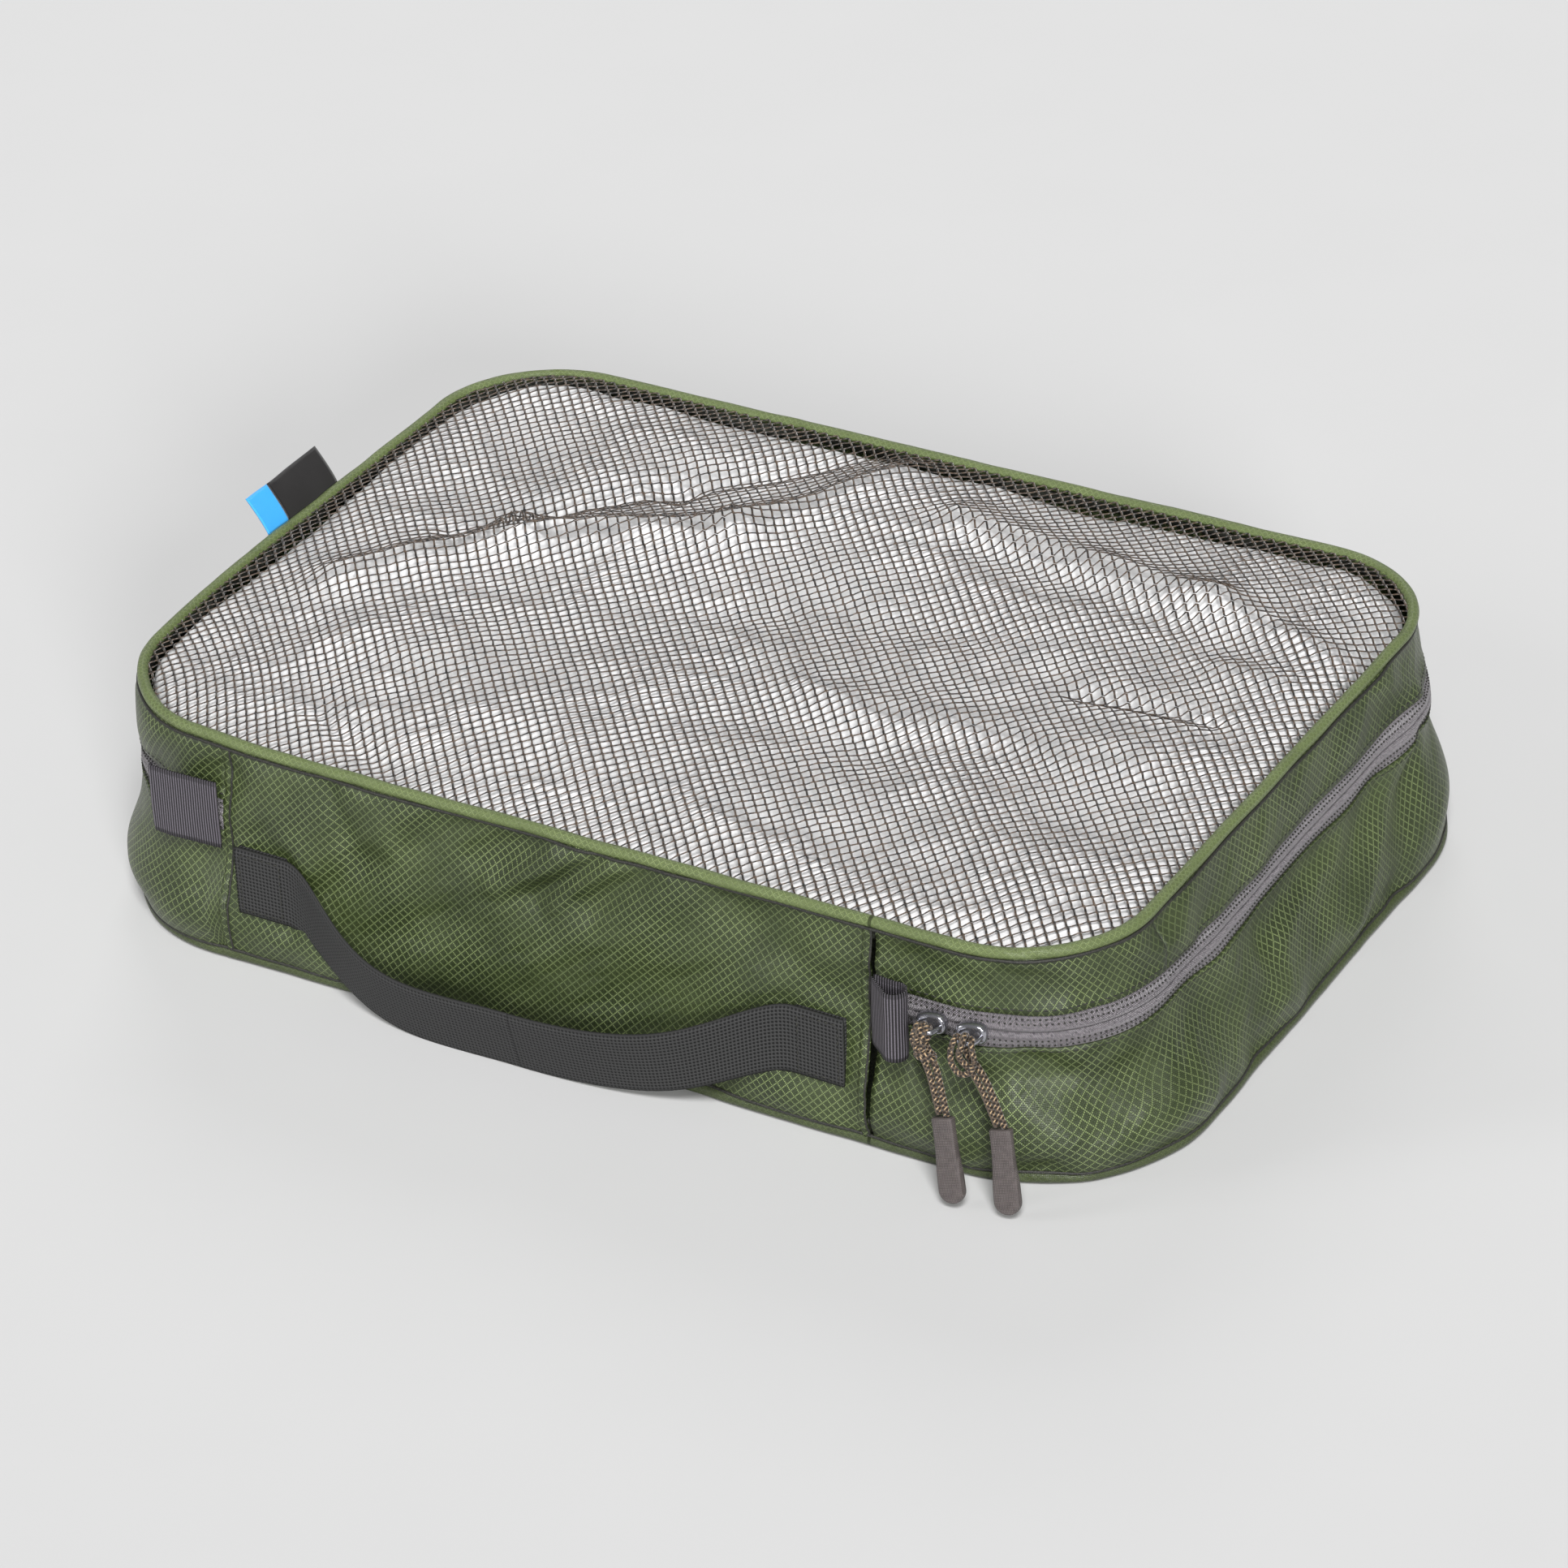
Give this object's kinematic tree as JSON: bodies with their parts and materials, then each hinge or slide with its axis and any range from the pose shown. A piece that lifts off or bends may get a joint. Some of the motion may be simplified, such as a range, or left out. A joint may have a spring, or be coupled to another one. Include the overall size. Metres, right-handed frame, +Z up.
{
  "type": "packing cube",
  "caption": "Low rectangular fabric case with rounded corners, a net top, a two-way zip round three sides, a side carry handle and two cord zip pulls.",
  "frame": {"origin": "on the rest face, below the centre of the top rim", "axes": "+X along the case's length to the zip pulls' end, -Y out of the handle side, +Z up"},
  "size_m": [0.4045, 0.3066, 0.0946],
  "materials": {
    "ripstop": "satin ripstop nylon",
    "base_ripstop": "satin ripstop nylon",
    "rim_welt": "covered piping",
    "base_welt": "covered piping",
    "binding": "woven binding tape",
    "zip_tape": "woven reverse-coil zip tape",
    "zip_coil": "moulded nylon coil",
    "thread": "sewing thread",
    "grosgrain": "ribbed ribbon",
    "webbing": "close woven webbing",
    "net": "knitted net",
    "tissue": "crumpled tissue paper",
    "label_dark": "woven label, blank",
    "label_blue": "woven label, blank",
    "slider_metal": "black nickel gloss",
    "cord": "braided cord",
    "grip": "moulded with a fine grid",
    "stop_metal": "black"
  },
  "bodies": {
    "base": {"bottom_panel": "base_ripstop", "bottom_piping": "base_welt", "lower_wall": "ripstop", "front_panel": "ripstop", "seam_binding_left": "binding", "seam_binding_right": "binding", "bottom_binding": "binding", "lower_zip_tape": "zip_tape", "lower_zip_coil": "zip_coil", "lower_topstitch": "thread", "end_tab": "grosgrain", "side_loop": "grosgrain", "anchor_patch_left": "webbing", "anchor_patch_right": "webbing", "zip_stop_left": "stop_metal", "zip_stop_right": "stop_metal"},
    "lid": {"upper_wall": "ripstop", "upper_zip_tape": "zip_tape", "upper_zip_coil": "zip_coil", "upper_topstitch": "thread", "top_piping": "rim_welt", "top_binding": "binding", "net_panel": "net", "tissue_sheet": "tissue", "side_label": "label_dark", "label_end": "label_blue"},
    "handle": {"handle_strap": "webbing", "handle_leg_left": "webbing", "handle_leg_right": "webbing"},
    "left_slider": {"slider_left": "slider_metal", "slider_left_bail": "slider_metal"},
    "right_slider": {"slider_right": "slider_metal", "slider_right_bail": "slider_metal"},
    "left_pull": {"pull_left_cord": "cord", "pull_left_knot": "cord", "pull_left_grip": "grip"},
    "right_pull": {"pull_right_cord": "cord", "pull_right_hitch": "cord", "pull_right_grip": "grip"}
  },
  "joints": [
    {"name": "lid_hinge", "type": "hinge", "parent": "base", "child": "lid", "pos_m": [0, -0.138, 0.0814], "axis": [1, 0, 0], "range_deg": [0, 120]},
    {"name": "handle_lift", "type": "hinge", "parent": "base", "child": "handle", "pos_m": [0, -0.14337, 0.033], "axis": [-1, 0, 0], "range_deg": [0, 90], "deforming": ["handle_leg_left", "handle_leg_right"]},
    {"name": "left_slider_run", "type": "slide", "parent": "base", "child": "left_slider", "axis": [1, 0, 0], "range_m": [0, 0.002]},
    {"name": "right_slider_run", "type": "hinge", "parent": "base", "child": "right_slider", "pos_m": [0.14506, -0.091, 0.054], "axis": [0, 0, 1], "range_deg": [0, 45]},
    {"name": "left_pull_swing", "type": "hinge", "parent": "left_slider", "child": "left_pull", "pos_m": [0.1373, -0.14934, 0.054], "axis": [-1, 0, 0], "range_deg": [0, 97]},
    {"name": "right_pull_swing", "type": "hinge", "parent": "right_slider", "child": "right_pull", "pos_m": [0.15197, -0.14893, 0.054], "axis": [-0.993, -0.1184, 0], "range_deg": [0, 97]}
  ]
}
